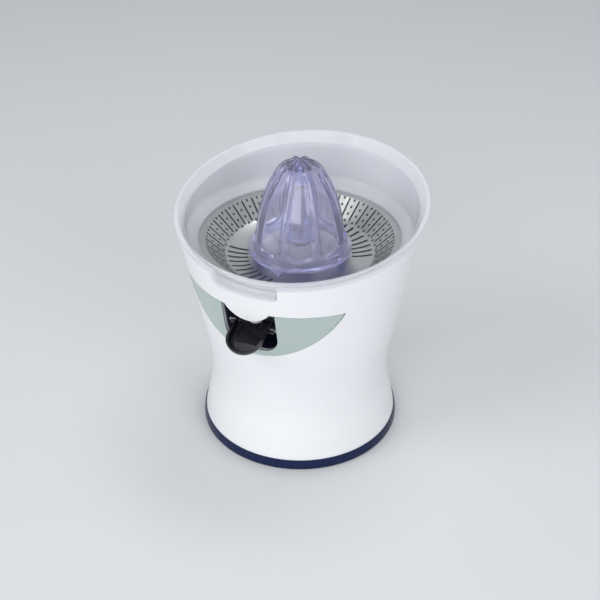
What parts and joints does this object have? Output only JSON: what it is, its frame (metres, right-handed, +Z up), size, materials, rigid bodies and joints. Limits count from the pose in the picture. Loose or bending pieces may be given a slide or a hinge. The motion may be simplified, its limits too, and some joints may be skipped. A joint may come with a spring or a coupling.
{
  "type": "citrus press juicer",
  "caption": "Motor-driven citrus juicer: waisted housing with a tilting drip-stop spout, and a lift-off bowl, strainer and reamer driven through a reduction gearbox.",
  "frame": {"origin": "on the floor, on the common axis of the base, drive shaft and reamer, within 1.5 mm of the middle of the bounding box's underside", "axes": "+Z up along the drive shaft, -Y towards the spout, +X to the right as seen when facing the spout"},
  "size_m": [0.1804, 0.1884, 0.2178],
  "materials": {
    "white_plastic": "moulded, high gloss",
    "silver_trim": "satin metallic paint on plastic",
    "navy_plastic": "moulded, semi gloss",
    "dark_plastic": "moulded, semi gloss",
    "black_plastic": "moulded, high gloss",
    "frosted_plastic": "frosted, translucent",
    "violet_plastic": "clear tinted",
    "stainless": "satin stainless sheet",
    "zinc_steel": "zinc plated or ground",
    "lamination": "stacked sheets, oxidised",
    "copper": "enamelled wire",
    "bronze": "sintered or turned",
    "rubber": "matt",
    "grey_plastic": "moulded, matt",
    "gear_plastic": "moulded, satin"
  },
  "bodies": {
    "base": {"body_shell": "white_plastic", "front_trim": "silver_trim", "base_plate": "navy_plastic", "rubber_feet": "rubber", "base_screws": "zinc_steel", "cord_gland": "rubber", "spout_housing": "dark_plastic", "spout_pins": "zinc_steel", "microswitch": "black_plastic", "deck": "grey_plastic", "shaft_seal": "rubber", "gearbox_housing": "grey_plastic", "gear_plate": "zinc_steel", "gearbox_cover": "grey_plastic", "shaft_bush": "bronze", "gearbox_screws": "zinc_steel", "idler_axle": "zinc_steel", "stator_core": "lamination", "coil_bobbin": "gear_plastic", "coil_winding": "copper", "motor_lower_bracket": "zinc_steel", "motor_upper_bracket": "zinc_steel", "motor_screws": "zinc_steel"},
    "armature": {"rotor": "lamination", "motor_pinion": "bronze"},
    "idler": {"idler_gear": "gear_plastic"},
    "output": {"output_gear": "gear_plastic", "return_spring": "zinc_steel"},
    "shaft": {"drive_shaft": "zinc_steel"},
    "cone": {"reamer": "violet_plastic"},
    "plunger": {"switch_plunger": "gear_plastic"},
    "scoop": {"spout": "black_plastic"},
    "dish": {"bowl": "frosted_plastic"},
    "sieve": {"strainer": "stainless"}
  },
  "joints": [
    {"name": "rotor_spin", "type": "hinge", "parent": "base", "child": "armature", "pos_m": [0, 0, 0.034], "axis": [0, 0, 1], "continuous": true},
    {"name": "idler_spin", "type": "hinge", "parent": "base", "child": "idler", "pos_m": [0, 0.03, 0.068], "axis": [0, 0, 1], "continuous": true},
    {"name": "cone_spin", "type": "hinge", "parent": "base", "child": "output", "pos_m": [0, 0, 0.083], "axis": [0, 0, 1], "continuous": true},
    {"name": "cone_press", "type": "slide", "parent": "output", "child": "shaft", "axis": [0, 0, -1], "range_m": [0, 0.0025], "stiffness_N_per_m": 3000, "springref_m": -0.0015, "deforming": ["return_spring"]},
    {"name": "reamer_lift", "type": "slide", "parent": "shaft", "child": "cone", "axis": [0, 0, 1], "range_m": [0, 0.16]},
    {"name": "plunger_press", "type": "slide", "parent": "base", "child": "plunger", "axis": [0, 0, -1], "range_m": [0, 0.0025]},
    {"name": "spout_tilt", "type": "hinge", "parent": "base", "child": "scoop", "pos_m": [0, -0.0697, 0.1224], "axis": [-1, 0, 0], "range_deg": [0, 25]},
    {"name": "bowl_lift", "type": "slide", "parent": "base", "child": "dish", "axis": [0, 0, 1], "range_m": [0, 0.08]},
    {"name": "strainer_lift", "type": "slide", "parent": "dish", "child": "sieve", "axis": [0, 0, 1], "range_m": [0, 0.03]}
  ],
  "couplings": [
    {"joint": "idler_spin", "follows": "rotor_spin", "ratio": -0.25},
    {"joint": "cone_spin", "follows": "rotor_spin", "ratio": 0.0625},
    {"joint": "plunger_press", "follows": "cone_press", "ratio": 1},
    {"joint": "reamer_lift", "follows": "bowl_lift", "ratio": 2},
    {"joint": "strainer_lift", "follows": "bowl_lift", "ratio": 0.375}
  ]
}
